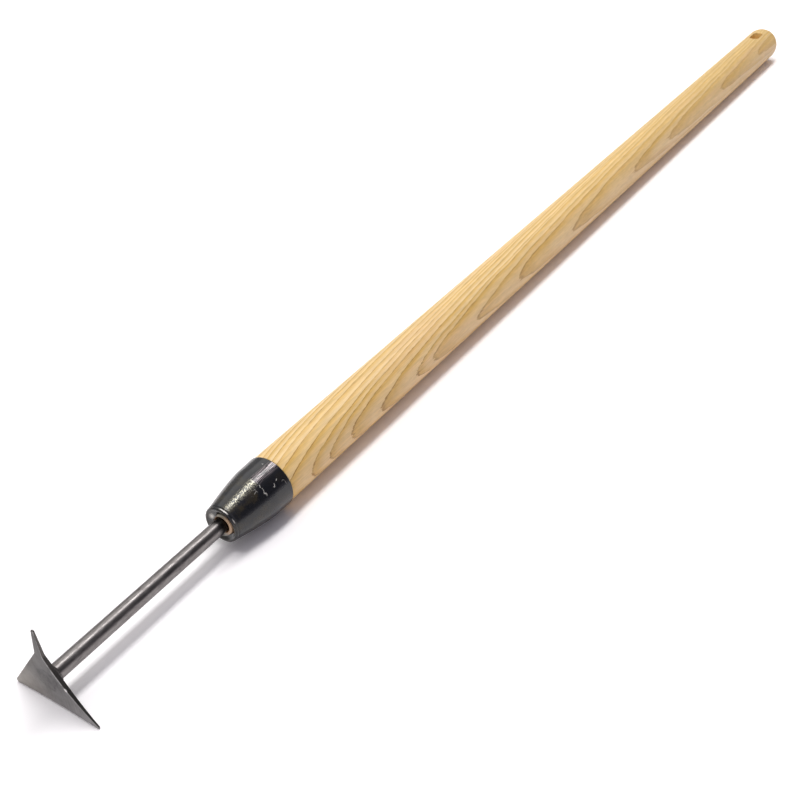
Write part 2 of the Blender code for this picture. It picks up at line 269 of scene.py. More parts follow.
handleLook = {
    "sides": 160,
    "faceSetback": 0.3,  # mm of clearance that hidden faces keep
    "boreRadius": 5.2,
    "boreTip": (22.0, 1.9),  # length of the bore's narrowing end and its last radius, mm
    "boreMouth": (5.9, 1.0),  # radius and depth of the countersunk mouth round the rod, mm
    "nibRadius": 7.8,  # the wood that stands in the hole of the ferrule's nose
    "nibLength": 2.3,
    "nibRound": 0.6,
    "underFerrule": 1.5,
    "shoulderRound": 0.8,
    "ringSteps": (6.0, 0.8, 19.0),  # mm between the mesh's rings, that beside the slot, and its reach
    "ringsStop": (1.2, 0.4),  # mm before the butt's rounding where rings stop, and the nearest one
    "buttRounding": 13.0,
    "buttFullness": 3.0,
    "slotFromButt": 33.0,
    "slotLength": 22.0,
    "slotWidth": 10.0,
    "slotEdge": 1.8,
    "slotFlare": 84.0,  # degrees that the slot's edge turns outwards
    # Growth rings, widths in mm, across the handle from its back towards the face that shows the flames
    "ringWidths": (4.1, 3.6, 4.4, 3.2, 4.0, 3.9, 4.5, 5.4, 4.3, 2.8, 2.8, 3.6, 3.3, 1.6, 3.9, 2.7, 3.8, 3.7,
                   2.3, 3.0, 2.1, 2.6, 3.1),
    "ringsBefore": 9,  # rings that lie behind the first flame
    "grainRun": 16.3,  # mm, how fast the rings rise through the handle
    "grainStart": 100.0,
    "grainNearest": 20.0,  # mm from the start where the rise ends
    "firstFlame": 207.0,  # station of the first flame's tip, mm
    "flameTurn": (200.0, 180.8, -0.0381),  # a station, the degrees round the axis there, degrees per mm
    # What bends the rings: waves a metre along and across the handle, detail, mm
    "ringBends": (((16, 60), 2.0, 2.2), ((30, 140), 1.0, 0.45), ((110, 1300), 2.0, 0.62)),
    "ringTones": ((0.0, "woodBrown"), (0.07, "woodGold"), (0.22, "woodGold"), (0.45, "wood"),
                  (0.74, "woodPale"), (0.985, "woodPale"), (1.0, "woodBrown")),
    "calmest": 0.45,  # how far the calmest ring goes over to the plain wood
    # Noises in the wood: (waves a metre along and across, detail, roughness), span
    "golden": (((6, 75), 2.0), (0.46, 0.62, 0.0, 0.42)),
    "rosy": (((7, 110), 3.0), (0.52, 0.70, 0.0, 0.4)),
    "lineBreaks": (((45, 420), 2.0), (0.38, 0.60, 0.20, 0.95)),
    "pores": (((260, 3600), 1.0), (0.54, 0.68, 0.0, 1.0)),
    "dashes": (((85, 800), 3.0, 0.6), (0.53, 0.62, 0.0, 1.0)),
    "streaks": (((9, 330), 3.0), (0.3, 0.7, 0.94, 1.06)),
    "flecks": (((110, 620), 3.0, 0.65), (0.34, 0.66, 0.96, 1.08)),
    "fibres": ((34, 1500), 4.0, 0.65),
    "fibreLight": (0.3, 0.7, 0.90, 1.07),
    "fibreRoughness": (0.2, 0.8, 0.34, 0.50),
    # Spans through a ring, from 0 where it starts to 1
    "goldenInRing": (0.1, 0.7, 1.0, 0.1),
    "lineInRing": (0.05, 0.11, 1.0, 0.0),
    "poresInRing": (0.0, 0.36, 1.0, 0.12),
    "poreStrength": 0.60,
    # Spans along the handle, by station
    "evenOut": (550.0, 1000.0, 0.0, 0.45),
    "lineFade": (350.0, 800.0, 1.0, 0.28),
    "dashFade": (450.0, 900.0, 1.0, 0.5),
    # painted shade: the wood darkens towards the butt in place of the lamp's falloff
    "buttPaintedShade": (500.0, toolLength, 1.0, 0.93),
    "woodPale": (0.860, 0.625, 0.310),
    "wood": (0.800, 0.545, 0.220),
    "woodGold": (0.715, 0.450, 0.115),
    "woodBrown": (0.500, 0.270, 0.060),
    "woodDark": (0.380, 0.180, 0.030),
    "woodRosy": (0.820, 0.545, 0.295),
    "woodFar": (0.740, 0.500, 0.175),  # the wood evens out to this towards the butt
    "endGrain": (0.720, 0.500, 0.310),
    "endGreyer": (0.330, 0.320, 0.250),  # the end grain beside the paint
    "greyerSide": (-5.2, -2.2, 0.0, 0.9),  # span across the end grain, mm from the axis
    # painted shade in the countersunk mouth of the bore round the rod
    "boreShadeBrown": (0.300, 0.120, 0.020),
    "boreShade": (5.8, 6.2, 1.0, 0.0),  # span of the radius, mm
    # sawn wood inside the slot, brightened as painted bounce light
    "slotSawnGlow": (0.950, 0.660, 0.250),
    "slotDepth": (15.5, 17.2, 0.90, 0.0),  # span of the radius over which the sawn wood gives way, mm
    # A short reddish streak on the side that shows: centre, direction as (station, y, z), reach, width in mm
    "fleck": ((422.0, -12.9, 12.5), (1.0, 0.0, 0.0), 4.5, 0.8),
    "fleckFade": (0.45, 1.2, 0.7, 0.0),
    "bump": (0.07, 0.6),  # depth in mm and strength
}


def ringDepth(tree, look, place, axes):
    # Growth rings are near-flat sheets that lean along the handle, so that they end as flames on one side
    station, across, upward = axes
    turnFrom, turnThere, turnRate = look["flameTurn"]
    turnRate = radians(turnRate)
    turn = calc(tree, "MULTIPLY_ADD", station, turnRate, radians(turnThere) - turnFrom * turnRate)
    alongY = calc(tree, "MULTIPLY", across, calc(tree, "COSINE", turn))
    depth = calc(tree, "MULTIPLY_ADD", upward, calc(tree, "SINE", turn), alongY)
    fromStart = calc(tree, "SUBTRACT", station, look["grainStart"])
    fromStart = calc(tree, "MAXIMUM", fromStart, look["grainNearest"])
    runLength = look["firstFlame"] - look["grainStart"]
    rise = calc(tree, "LOGARITHM", calc(tree, "DIVIDE", fromStart, runLength), exp(1))
    grain = calc(tree, "MULTIPLY_ADD", rise, look["grainRun"], depth)
    for bend in look["ringBends"]:
        grain = ragged(tree, place, grain, *bend)
    return calc(tree, "SUBTRACT", grain, handleRadius)


def countRings(tree, look, grain):
    # Share of the way through a ring, and a random number for each ring
    widths = look["ringWidths"]
    first = -sum(widths[:look["ringsBefore"]])
    last = first + sum(widths)
    curve = addNode(tree, "ShaderNodeFloatCurve", {"Value": remap(tree, grain, first, last, 0.0, 1.0)})
    marks = curve.mapping.curves[0].points
    reached = 0.0
    for count, width in enumerate(widths[:-1], start=1):
        reached += width
        marks.new(reached / sum(widths), count / len(widths))
    for mark in marks:
        mark.handle_type = "VECTOR"
    curve.mapping.update()
    rings = calc(tree, "MULTIPLY", curve.outputs[0], float(len(widths)))
    number = calc(tree, "FLOOR", rings)
    luck = addNode(tree, "ShaderNodeTexWhiteNoise", {"W": number}, noise_dimensions="1D").outputs["Value"]
    return calc(tree, "FRACT", rings), luck


def handleEnds(tree, look, axes, colour):
    # The raw end grain round the rod, with painted shade in the bore's mouth, and the sawn inside of the
    # slot, brightened as painted bounce light
    station, across, upward = axes
    fromAxis = lengthOf(tree, across, upward)
    endFace = remap(tree, station, handleFace + 4, handleFace + 5, 1.0, 0.0)
    # The end grain is greyer on the far side, beside the paint
    greyerShare = remap(tree, across, *look["greyerSide"])
    endColour = blendColours(tree, greyerShare, look["endGrain"], look["endGreyer"])
    colour = blendColours(tree, endFace, colour, endColour)
    # Painted shade darkens the bore's mouth round the rod
    boreShaded = product(tree, endFace, remap(tree, fromAxis, *look["boreShade"]))
    colour = blendColours(tree, boreShaded, colour, look["boreShadeBrown"])
    # The slot's sawn wood is brightened as painted bounce light
    fromSlot = distance(tree, station, toolLength - look["slotFromButt"])
    atSlot = remap(tree, fromSlot, look["slotLength"] * 0.5, look["slotLength"] * 0.6, 1.0, 0.0)
    sawnAndLit = product(tree, remap(tree, fromAxis, *look["slotDepth"]), atSlot)
    return blendColours(tree, sawnAndLit, colour, look["slotSawnGlow"])


def ashMaterial(look):
    made, tree, shader, place = startMaterial("ash_finished")
    axes = toolAxes(tree, place)
    station = axes[0]
    ringShare, luck = countRings(tree, look, ringDepth(tree, look, place, axes))
    colour = ramp(tree, ringShare, [(spot, look[tone]) for spot, tone in look["ringTones"]])
    colour = blendColours(tree, remap(tree, luck, 0.0, 1.0, 0.0, look["calmest"]), colour, look["wood"])
    golden = mask(tree, place, *look["golden"])
    golden = product(tree, golden, remap(tree, ringShare, *look["goldenInRing"]))
    colour = blendColours(tree, golden, colour, look["woodGold"])
    colour = blendColours(tree, remap(tree, station, *look["evenOut"]), colour, look["woodFar"])
    colour = blendColours(tree, mask(tree, place, *look["rosy"]), colour, look["woodRosy"])

    # A thin dark line starts each ring, stronger and weaker along its way
    breaks = mask(tree, place, *look["lineBreaks"])
    lineFade = remap(tree, station, *look["lineFade"])
    darkLine = product(tree, remap(tree, ringShare, *look["lineInRing"]), breaks, lineFade)
    colour = blendColours(tree, darkLine, colour, look["woodDark"])

    # Early wood is porous: short dark dashes along the grain, thick at the start of each ring
    poreZone = remap(tree, ringShare, *look["poresInRing"])
    dashFade = remap(tree, station, *look["dashFade"])
    pores = product(tree, mask(tree, place, *look["pores"]), poreZone)
    dashes = product(tree, mask(tree, place, *look["dashes"]), poreZone, dashFade)
    pores = calc(tree, "MAXIMUM", pores, dashes)
    colour = blendColours(tree, product(tree, pores, look["poreStrength"]), colour, look["woodBrown"])

    # Fibres, slow streaks and flecks with painted shade towards the butt, then the reddish streak, the end
    # grain and the slot
    fibres = speckle(tree, place, *look["fibres"])
    light = product(tree, remap(tree, fibres, *look["fibreLight"]), mask(tree, place, *look["streaks"]),
                    remap(tree, station, *look["buttPaintedShade"]), mask(tree, place, *look["flecks"]))
    colour = shaded(tree, colour, light)
    fleck = remap(tree, nearSpot(tree, place, *look["fleck"]), *look["fleckFade"])
    colour = blendColours(tree, fleck, colour, look["woodBrown"])
    tree.links.new(handleEnds(tree, look, axes, colour), shader.inputs["Base Color"])

    tree.links.new(remap(tree, fibres, *look["fibreRoughness"]), shader.inputs["Roughness"])
    height = calc(tree, "MULTIPLY_ADD", pores, -1.0, calc(tree, "MULTIPLY", fibres, 0.4))
    addBump(tree, shader, height, *look["bump"])
    return made


def ferruleRadius(look, station):
    crease = look["creaseStation"]
    band = ferruleRim - look["bandLength"]
    bandRadius = rimRadius - look["bandTaper"]
    if station >= band:
        return bandRadius + look["bandTaper"] * (station - band) / look["bandLength"]
    share = max(0.0, (station - crease) / (band - crease))
    return bandRadius - (bandRadius - look["creaseRadius"]) * (1 - share) ** look["coneSwell"]


def slotCutter(look, material):
    middle = toolLength - look["slotFromButt"]
    edge = look["slotEdge"]
    flare = radians(look["slotFlare"])
    straight = (look["slotLength"] - look["slotWidth"]) / 2
    clear = 2.5  # mm that the cutter stands out of the wood
    edgeSteps, endSteps = 12, 24
    levels = [(0.0, 0.0)]
    for i in range(edgeSteps + 1):
        a = flare * i / edgeSteps
        levels.append((handleRadius - edge + edge * sin(a), edge * (1 - cos(a))))
    levels.append((handleRadius + clear, levels[-1][1] + clear * tan(flare)))
    levels = [(-z, grow) for z, grow in reversed(levels[1:])] + levels
    rings = []
    for z, grow in levels:
        radius = look["slotWidth"] / 2 + grow
        ring = []
        for side in (1, -1):
            for k in range(endSteps + 1):
                a = pi * k / endSteps - pi / 2
                ring.append((middle + side * (straight + radius * cos(a)), side * radius * sin(a), z))
        rings.append(ring)
    points, faces = skinRings(rings)
    last = len(points) - len(rings[-1])
    faces.append(tuple(reversed(range(len(rings[0])))))
    faces.append(tuple(range(last, len(points))))
    return meshObject("slotCutter", points, faces, material)


def handleProfile(look, ferruleSizes):
    # From the bore's end forward to the nib, back along the cone in the ferrule and on to the butt
    gap = look["faceSetback"]
    seatEnd = ferruleRim + gap
    tipLength, tipRadius = look["boreTip"]
    mouthRadius, mouthDepth = look["boreMouth"]
    arcSteps, seatSteps, domeSteps = 8, 30, 36
    profile = [(tangEnd + gap, 0.0), (tangEnd + gap, tipRadius), (tangEnd - tipLength, look["boreRadius"])]
    profile += [(handleFace + mouthDepth, look["boreRadius"]), (handleFace, mouthRadius)]
    edge = look["nibRound"]
    profile += arcPoints((handleFace + edge, look["nibRadius"] - edge), edge, 0.0, pi / 2, arcSteps)
    nibEnd = handleFace + look["nibLength"]
    profile.append((nibEnd, look["nibRadius"]))
    for i in range(seatSteps + 1):
        station = nibEnd + (seatEnd - nibEnd) * i / seatSteps
        profile.append((station, ferruleRadius(ferruleSizes, station) - look["underFerrule"]))
    small = look["shoulderRound"]
    profile += arcPoints((seatEnd + small, handleRadius - small), small, 0.0, pi / 2, arcSteps)

    slotMiddle = toolLength - look["slotFromButt"]
    dome = toolLength - look["buttRounding"]
    wideStep, fineStep, fineReach = look["ringSteps"]
    stop, nearest = look["ringsStop"]
    station = seatEnd + small
    while station < dome - stop:
        station += fineStep if abs(station - slotMiddle) < fineReach else wideStep
        profile.append((min(station, dome - nearest), handleRadius))
    power = 2 / look["buttFullness"]
    for i in range(domeSteps + 1):
        a = pi / 2 * i / domeSteps
        station = dome + look["buttRounding"] * sin(a) ** power
        profile.append((station, handleRadius * max(cos(a), 0.0) ** power))
    profile[-1] = (toolLength, 0.0)
    return profile


def buildHandle(look, ferruleSizes):
    wood = ashMaterial(look)
    points, faces = skinRings(turnedRings(handleProfile(look, ferruleSizes), look["sides"]))
    handle = meshObject("ashHandle", points, faces, wood)
    cutter = slotCutter(look, wood)
    cut = handle.modifiers.new("slot", "BOOLEAN")
    cut.object = cutter
    cut.operation = "DIFFERENCE"
    cut.solver = "EXACT"
    bpy.context.view_layer.update()
    carved = bpy.data.meshes.new_from_object(handle.evaluated_get(bpy.context.evaluated_depsgraph_get()))
    handle.modifiers.remove(cut)
    handle.data = carved
    bpy.data.objects.remove(cutter)
    finishPiece(handle, "handle", 35)
    print("handle:", len(carved.polygons), "faces")


# Ferrule

ferruleLook = {
    "sides": 192,
    "noseRadius": 12.9,
    "beadRadius": 1.3,
    "beadEnd": 0.60,  # where the bead's curve ends, in half turns
    "holeRadius": 8.1,
    "holeRound": 0.22,
    "dishDepth": 1.9,  # how far the hole's edge lies behind the front of the bead
    "dishBow": 0.12,
    "lipThickness": 1.0,
    "creaseStation": 142.45,
    "creaseRadius": 12.9,
    "creaseDepth": 0.40,
    "creaseShape": ((-0.20, 0.0), (0.02, 0.0), (0.16, 0.14)),  # behind the crease, out from its bottom, mm
    "coneStart": 0.42,
    "bandLength": 13.9,
    "bandTaper": 0.35,
    "coneSwell": 1.3,
    "wall": 1.2,
    "black": (0.0075, 0.0085, 0.0115),
    "blackWarm": (0.030, 0.024, 0.014),
    "bareSteel": (0.60, 0.58, 0.54),
    "coneFleckHighlight": (0.58, 0.55, 0.42),
    "bandFleckHighlight": (0.44, 0.37, 0.38),
    "turnedLength": 20.0,  # the end that is finished with lengthwise lines
    # Noises in the paint: waves a metre, detail, roughness
    "patches": (130.0, 4.0, 0.6),
    "warmPatches": (0.45, 0.66, 0.0, 1.0),
    "warmOnBand": 0.4,
    "patchRoughness": (0.35, 0.7, 0.13, 0.24),
    "fine": (1100.0, 2.0),
    "grainy": ((1000, 1500), 3.0, 0.7),
    "brushed": ((70, 1500), 2.0),
    "throughPaint": (0.46, 0.58, 0.0, 1.0),
    "scratchCells": 150.0,
    "scratchWidth": 0.032,
    "scratchPlaces": ((150.0, 2.0), (0.66, 0.70, 0.0, 0.5)),
    "wornPlaces": ((300.0, 3.0, 0.6), (0.40, 0.52, 0.0, 1.0)),
    "jagged": (420.0, 2.0, 4.0),  # waves a metre, detail and mm of the worn line's wandering
    # Metal flecks show through the paint all round, and crowd in one band where they are a painted
    # highlight: degrees up from -Y, half width, fade, most and least
    "thinPaintHighlight": (71.5, 7.0, 6.5, 0.55, 0.006),
    # The worn line on the band, and the painted highlight line and painted glint on the bead: mm from their
    # middle where they are full and gone, degrees up from -Y, half width, strength
    "bandWear": ((0.15, 0.50), 56.0, 19.0, 1.0),
    "beadHighlight": ((0.30, 0.60), 74.0, 11.0, 1.0),
    "beadGlint": ((0.25, 0.55), 34.0, 3.0, 0.8),
    "wearFade": 7.0,  # degrees over which the worn line and the painted highlight lines end
    # Chips on the band: centre and direction as (station, y, z), reach, width in mm
    "chips": (((180.6, -13.4, 12.9), (1.0, 0.35, 0.45), 1.0, 0.32),
              ((177.2, -14.4, 11.5), (-0.5, -0.63, -0.78), 1.3, 0.30),
              ((176.3, -14.9, 10.8), (1.0, -0.5, -0.6), 0.8, 0.30)),
    "chipFade": (0.7, 1.1, 0.85, 0.0),
    # Places rubbed bare on the nose that also stand in as painted highlight and glint, like the chips, with
    # a strength
    "rubbedHighlight": (((141.2, 6.9, 4.2), (0.0, -0.6, 0.8), 3.6, 2.7, 0.75),
               ((141.8, -1.6, -8.1), (-0.1, 0.9, -0.42), 3.9, 0.9, 1.0)),
    "bareMetal": 0.3,  # how metallic scratches, worn and painted highlight lines and chips are
    "bareRoughness": 0.2,
    "specular": 0.55,
    # Heights in the bump: fine noise, grain on the cone, what the band takes off it, its lines, bare spots
    # and painted highlight lines
    "heights": (0.35, 0.6, -0.5, 0.6, -0.5),
    "bump": (0.10, 0.8),
    # Paint that has run over the wood: degrees up from -Y, half width, fade, and the radius it reaches in to
    "paintSide": (165.0, 44.0, 30.0),
    "paintReach": 6.3,
    "paintSkin": (0.08, 8.05),  # mm over the wood, and the radius where it leaves the hole's edge
    "paintEdge": ((0.0, 0.15), (0.02, 0.03), (0.08, 0.0), (0.14, 0.06), (0.18, 0.2)),  # forward, out, mm
    "paintBow": 0.1,
}


def blackMaterial(look):
    made, tree, shader, place = startMaterial("black_finished")
    station, across, upward = toolAxes(tree, place)
    fromNear = calc(tree, "ARCTAN2", upward, calc(tree, "MULTIPLY", across, -1.0))
    band = ferruleRim - look["turnedLength"]
    beadTop = ferruleFront + look["beadRadius"]
    crease = look["creaseStation"]
    onBand = remap(tree, station, band - 0.4, band + 0.4, 0.0, 1.0)
    patches = speckle(tree, place, *look["patches"])
    calmer = remap(tree, onBand, 0.0, 1.0, 1.0, look["warmOnBand"])
    mottled = product(tree, remap(tree, patches, *look["warmPatches"]), calmer)
    colour = blendColours(tree, mottled, look["black"], look["blackWarm"])

    # Scratches: thin edges of a cell pattern, kept only where a slow noise lets them
    cells = addNode(tree, "ShaderNodeTexVoronoi", {"Vector": place, "Scale": look["scratchCells"]},
                    feature="DISTANCE_TO_EDGE").outputs["Distance"]
    scratch = remap(tree, cells, 0.0, look["scratchWidth"], 1.0, 0.0)
    scratch = product(tree, scratch, mask(tree, place, *look["scratchPlaces"]))

    # Paint worn through in a jagged line where the band starts, and chipped; on the bead beside the nose's
    # crease a painted highlight line and a painted glint
    jagged = ragged(tree, place, station, *look["jagged"])
    wornAndHighlightLines = 0.0
    for middle, course, (halfLine, where, half, strength) in (
            (band, jagged, look["bandWear"]),
            (beadTop, station, look["beadHighlight"]),
            (beadTop, station, look["beadGlint"])):
        line = remap(tree, distance(tree, course, middle), *halfLine, 1.0, 0.0)
        off = distance(tree, fromNear, radians(where))
        ends = remap(tree, off, radians(half), radians(half + look["wearFade"]), strength, 0.0)
        wornAndHighlightLines = calc(tree, "MAXIMUM", product(tree, line, ends), wornAndHighlightLines)
    wornAndHighlightLines = product(tree, wornAndHighlightLines, mask(tree, place, *look["wornPlaces"]))
    for chip in look["chips"]:
        chipped = remap(tree, nearSpot(tree, place, *chip), *look["chipFade"])
        wornAndHighlightLines = calc(tree, "MAXIMUM", chipped, wornAndHighlightLines)
    bareAndHighlight = calc(tree, "MAXIMUM", scratch, wornAndHighlightLines)
    colour = blendColours(tree, bareAndHighlight, colour, look["bareSteel"])

    # Metal shows through the thin paint as small flecks on the cone and as lengthwise lines on the band,
    # crowded along one band round the axis as a painted highlight
    grainy = speckle(tree, place, *look["grainy"])
    brushed = speckle(tree, place, *look["brushed"])
    through = calc(tree, "MULTIPLY_ADD", calc(tree, "SUBTRACT", brushed, grainy), onBand, grainy)
    where, half, fade, most, least = look["thinPaintHighlight"]
    off = distance(tree, fromNear, radians(where))
    fleckHighlightBand = remap(tree, off, radians(half), radians(half + fade), most, least)
    behindCrease = remap(tree, station, crease, crease + 2, 0.0, 1.0)
    fleckAndHighlight = product(tree, remap(tree, through, *look["throughPaint"]), fleckHighlightBand, behindCrease)
    fleckHighlightColour = blendColours(tree, onBand, look["coneFleckHighlight"], look["bandFleckHighlight"])
    colour = blendColours(tree, fleckAndHighlight, colour, fleckHighlightColour)

    # Two rubbed places on the dish of the nose, a wide soft one and a bright streak, placed as painted
    # highlight and glint
    rubbedHighlight = 0.0
    for *spot, strength in look["rubbedHighlight"]:
        share = remap(tree, nearSpot(tree, place, *spot), 0.25, 1.0, strength, 0.0)
        rubbedHighlight = calc(tree, "MAXIMUM", share, rubbedHighlight)
    rubbedHighlight = product(tree, rubbedHighlight, remap(tree, station, crease - 0.6, crease, 1.0, 0.0))
    colour = blendColours(tree, rubbedHighlight, colour, look["bareSteel"])
    tree.links.new(colour, shader.inputs["Base Color"])
    metal = calc(tree, "MAXIMUM", fleckAndHighlight, rubbedHighlight)
    metal = calc(tree, "MAXIMUM", metal, calc(tree, "MULTIPLY", bareAndHighlight, look["bareMetal"]))
    tree.links.new(metal, shader.inputs["Metallic"])

    rough = remap(tree, patches, *look["patchRoughness"])
    rough = calc(tree, "MULTIPLY_ADD", bareAndHighlight, look["bareRoughness"], rough)
    tree.links.new(rough, shader.inputs["Roughness"])
    shader.inputs["Specular IOR Level"].default_value = look["specular"]
    fineHeight, grainHeight, bandChange, lineHeight, bareHeight = look["heights"]
    height = calc(tree, "MULTIPLY_ADD", speckle(tree, place, *look["fine"]), fineHeight, patches)
    grainHeight = calc(tree, "MULTIPLY_ADD", onBand, bandChange, grainHeight)
    height = calc(tree, "MULTIPLY_ADD", grainy, grainHeight, height)
    height = calc(tree, "MULTIPLY_ADD", product(tree, brushed, onBand), lineHeight, height)
    height = calc(tree, "MULTIPLY_ADD", bareAndHighlight, bareHeight, height)
    addBump(tree, shader, height, *look["bump"])
    return made


def runPaint(rings, paint, look):
    # On the far side paint fills the dish and runs over the edge of the wood: it comes forward, then in
    middle, half, fade = look["paintSide"]
    for ring, (goalStation, goalRadius) in zip(rings, paint):
        for i, (station, y, z) in enumerate(ring):
            off = abs((degrees(atan2(z, -y)) - middle + 180) % 360 - 180)
            amount = min(max((half + fade - off) / fade, 0.0), 1.0)
            forward, inward = min(2 * amount, 1.0), max(2 * amount - 1, 0.0)
            radius = hypot(y, z)
            inner = radius + (goalRadius - radius) * inward * inward * (3 - 2 * inward)
            ring[i] = (station + (goalStation - station) * forward, y * inner / radius, z * inner / radius)


def buildFerrule(look):
    bead = (ferruleFront + look["beadRadius"], look["noseRadius"] - look["beadRadius"])
    holeEdge = (ferruleFront + look["dishDepth"], look["holeRadius"])
    behind, within = holeEdge[0] - bead[0], bead[1] - holeEdge[1]
    touch = atan2(-within, -behind) + acos(look["beadRadius"] / hypot(behind, within))
    roll = arcPoints(bead, look["beadRadius"], touch, look["beadEnd"] * pi, 36)
    lipBack = holeEdge[0] + look["lipThickness"]
    small = look["holeRound"]
    dish = [(lipBack, look["holeRadius"])]
    dish += arcPoints((holeEdge[0] + small, look["holeRadius"] + small), small, -0.5 * pi, -0.1 * pi, 5)
    dish += bowedLine(dish[-1], roll[0], look["dishBow"])
    crease = look["creaseStation"]
    bottom = look["creaseRadius"] - look["creaseDepth"]
    dip = [(crease + back, bottom + out) for back, out in look["creaseShape"]]
    lip = look["wall"] / 2
    coneStart = crease + look["coneStart"]
    wallSteps, insideSteps = 60, 24
    wall = []
    for i in range(wallSteps):
        station = coneStart + (ferruleRim - lip - crease - look["coneStart"]) * i / wallSteps
        wall.append((station, ferruleRadius(look, station)))
    rim = arcPoints((ferruleRim - lip, rimRadius - lip), lip, 0.5 * pi, 1.5 * pi, 16)
    inside = []
    for i in range(insideSteps):
        station = ferruleRim - lip - (ferruleRim - lip - lipBack) * (i + 1) / insideSteps
        inside.append((station, ferruleRadius(look, station) - look["wall"]))
    rings = turnedRings(dish + roll + dip + wall + rim + inside, look["sides"])

    thickness, leaves = look["paintSkin"]
    skin = handleFace - thickness
    paint = [dish[0], (skin, leaves)]
    paint += [(skin - forward, look["paintReach"] + out) for forward, out in look["paintEdge"]]
    paint += bowedLine(paint[-1], roll[0], look["paintBow"])
    runPaint(rings, paint, look)
    points, faces = skinRings(rings, closedLoop=True)
    ferrule = meshObject("ferruleSleeve", points, faces, blackMaterial(look))
    finishPiece(ferrule, "ferrule", 50)


# Rod and weld

rodLook = {
    "sides": 96,
    "clearance": 0.05,  # mm between the plate and the rod's end
    "tipLength": 22.0,
    "tipRadius": 1.6,
    "steel": (0.240, 0.226, 0.219),
    "steelDark": (0.100, 0.085, 0.083),
    "roughness": (0.27, 0.45),
    "drawWaves": (200, 900),
    "noseShadeAndDirt": (0.020, 0.018, 0.018),  # painted shade, with dirt, on the rod where it goes into the ferrule's nose
    "noseShadeDirtReach": (6.5, 2.5),  # mm before the nose where it starts and where it is full
    "noseShadeDirtEdge": (400.0, 3.0, 3.0),  # waves a metre, detail and mm of its ragged edge
    "noseShadeDirtStrength": 0.9,
}

weldLook = {
    "around": 208,
    "across": 14,
    "sink": 0.05,  # mm that the bead's back lies in the plate
    "rootDepth": 0.2,
    "toeRadius": 8.3,
    "height": 3.3,
    "toeLift": 0.1,
    "crown": 0.35,
    "crownLean": 0.7,  # share of the swelling that goes outwards and forwards
    "ripples": 26,
    "rippleDepth": 0.16,
    "wander": 0.35,
    "wanderTurns": 2.2,  # how quickly the wandering changes round the rod
    "steel": (0.120, 0.112, 0.110),
    "steelDark": (0.060, 0.052, 0.050),
    "roughness": (0.38, 0.58),
    "drawWaves": (400, 400),
}

# What all bare steel shares: noises as waves a metre, detail, roughness, and their spans
steelLook = {
    "drawn": (4.0, 0.6),
    "drawnDark": (0.35, 0.75, 0.0, 1.0),
    "grime": (140.0, 4.0, 0.6),
    "grimeDark": (0.3, 0.7, 0.4, 1.0),
    "grimeRoughness": (0.3, 0.7),
    "fine": (2200.0, 2.0),
    "drawnHeight": 0.6,
    "bump": (0.03, 0.5),
}


def steelMaterial(name, look, steel=steelLook):
    made, tree, shader, place = startMaterial(name)
    shader.inputs["Metallic"].default_value = 1.0
    drawn = speckle(tree, place, look["drawWaves"], *steel["drawn"])
    grime = speckle(tree, place, *steel["grime"])
    grimeDark = remap(tree, grime, *steel["grimeDark"])
    shareDark = product(tree, remap(tree, drawn, *steel["drawnDark"]), grimeDark)
    colour = blendColours(tree, shareDark, look["steel"], look["steelDark"])
    tree.links.new(colour, shader.inputs["Base Color"])
    rough = remap(tree, grime, *steel["grimeRoughness"], *look["roughness"])
    tree.links.new(rough, shader.inputs["Roughness"])
    height = calc(tree, "MULTIPLY_ADD", drawn, steel["drawnHeight"], speckle(tree, place, *steel["fine"]))
    addBump(tree, shader, height, *steel["bump"])
    return made, tree, shader, place, colour


def buildRod(look):
    material, tree, shader, place, colour = steelMaterial("rod_finished", look)
    station = toolAxes(tree, place)[0]
    # Painted shade, with dirt, darkens the rod just before the ferrule's nose
    start, full = (ferruleFront - reach for reach in look["noseShadeDirtReach"])
    edge = ragged(tree, place, station, *look["noseShadeDirtEdge"])
    noseShadedAndDirty = remap(tree, edge, start, full, 0.0, look["noseShadeDirtStrength"])
    tree.links.new(blendColours(tree, noseShadedAndDirty, colour, look["noseShadeAndDirt"]), shader.inputs["Base Color"])

    rodEnd = plateThickness + look["clearance"]
    first = plateThickness + 1
    tip = tangEnd - look["tipLength"]
    steps = 50
    profile = [(rodEnd, 0.0), (rodEnd, rodRadius)]
    profile += [(first + (tip - first) * i / steps, rodRadius) for i in range(steps + 1)]
    profile += [(tangEnd, look["tipRadius"]), (tangEnd, 0.0)]
    points, faces = skinRings(turnedRings(profile, look["sides"]))
    finishPiece(meshObject("steelRod", points, faces, material), "rod")


def buildWeld(look):
    material = steelMaterial("weld_finished", look)[0]
    around, across = look["around"], look["across"]
    back = plateThickness - look["sink"]
    root = rodRadius - look["rootDepth"]
    turns = look["wanderTurns"]
    rings = []
    for i in range(around):
        a = -2 * pi * i / around
        uneven = noise.noise(Vector((turns * cos(a), turns * sin(a), 3.0))) * look["wander"]
        beat = (i / around * look["ripples"]) % 1.0
        ripple = look["rippleDepth"] * (1 - (2 * beat - 1) ** 2)
        toe = look["toeRadius"] + uneven
        ring = [(back, root * cos(a), root * sin(a))]
        for k in range(across + 1):
            share = k / across
            swell = sin(pi * share) * (look["crown"] + ripple + uneven * 0.5) * look["crownLean"]
            radius = toe - (toe - rodRadius + look["toeLift"]) * share + swell
            ring.append((back + look["height"] * share + swell, radius * cos(a), radius * sin(a)))
        rings.append(ring)
    points, faces = skinRings(rings, closedLoop=True)
    bead = meshObject("weldFillet", points, turnedOver(faces), material)
    finishPiece(bead, "weld_bead", 60)


# Blade

